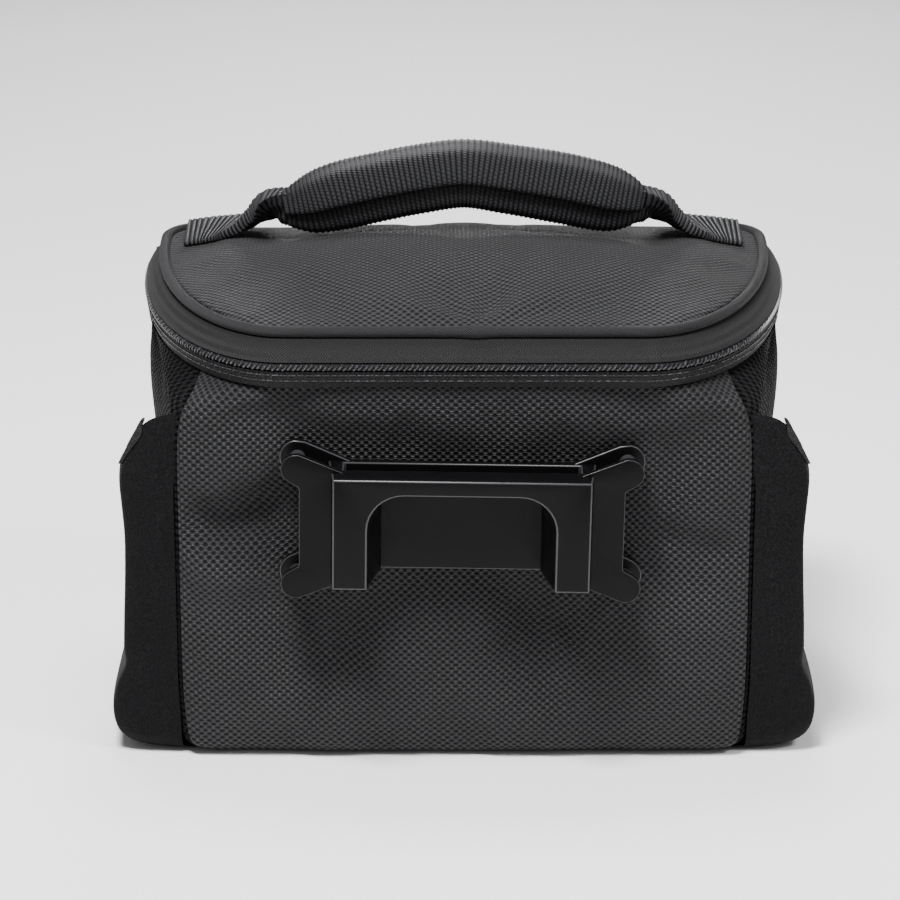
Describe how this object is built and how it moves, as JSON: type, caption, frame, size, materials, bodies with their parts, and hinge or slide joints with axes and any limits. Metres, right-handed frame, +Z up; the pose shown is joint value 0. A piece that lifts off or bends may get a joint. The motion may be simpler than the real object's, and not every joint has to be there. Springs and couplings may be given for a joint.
{
  "type": "bicycle handlebar bag",
  "caption": "Padded bicycle handlebar bag with a domed zip lid, webbing handle, open side pockets and a moulded plate for a handlebar clamp.",
  "frame": {"origin": "middle of the bag's bounding box, at its base", "axes": "+X to the right when the moulded plate is looked at, +Y from the plate side to the far side, +Z up"},
  "size_m": [0.2528, 0.158, 0.1999],
  "materials": {
    "cloth": "woven, satin",
    "binding": "twill, matt",
    "neoprene": "matt",
    "webbing": "ribbed, satin",
    "nylon_coil": "glossy",
    "moulded": "fine matt moulded"
  },
  "bodies": {
    "root": {"back_panel": "cloth", "front_panel": "cloth", "side_panel_left": "cloth", "side_panel_right": "cloth", "base_panel": "cloth", "side_pocket_left": "neoprene", "side_pocket_right": "neoprene", "pocket_binding_left": "binding", "pocket_binding_right": "binding", "lid_top": "cloth", "lid_piping": "binding", "lid_band": "binding", "lid_hinge": "cloth", "zip_coil": "nylon_coil", "zip_lower_tape": "binding", "zip_slider": "moulded", "handle_strap_left": "webbing", "handle_strap_right": "webbing", "handle_grip": "webbing", "mount_plate": "moulded"}
  },
  "joints": []
}
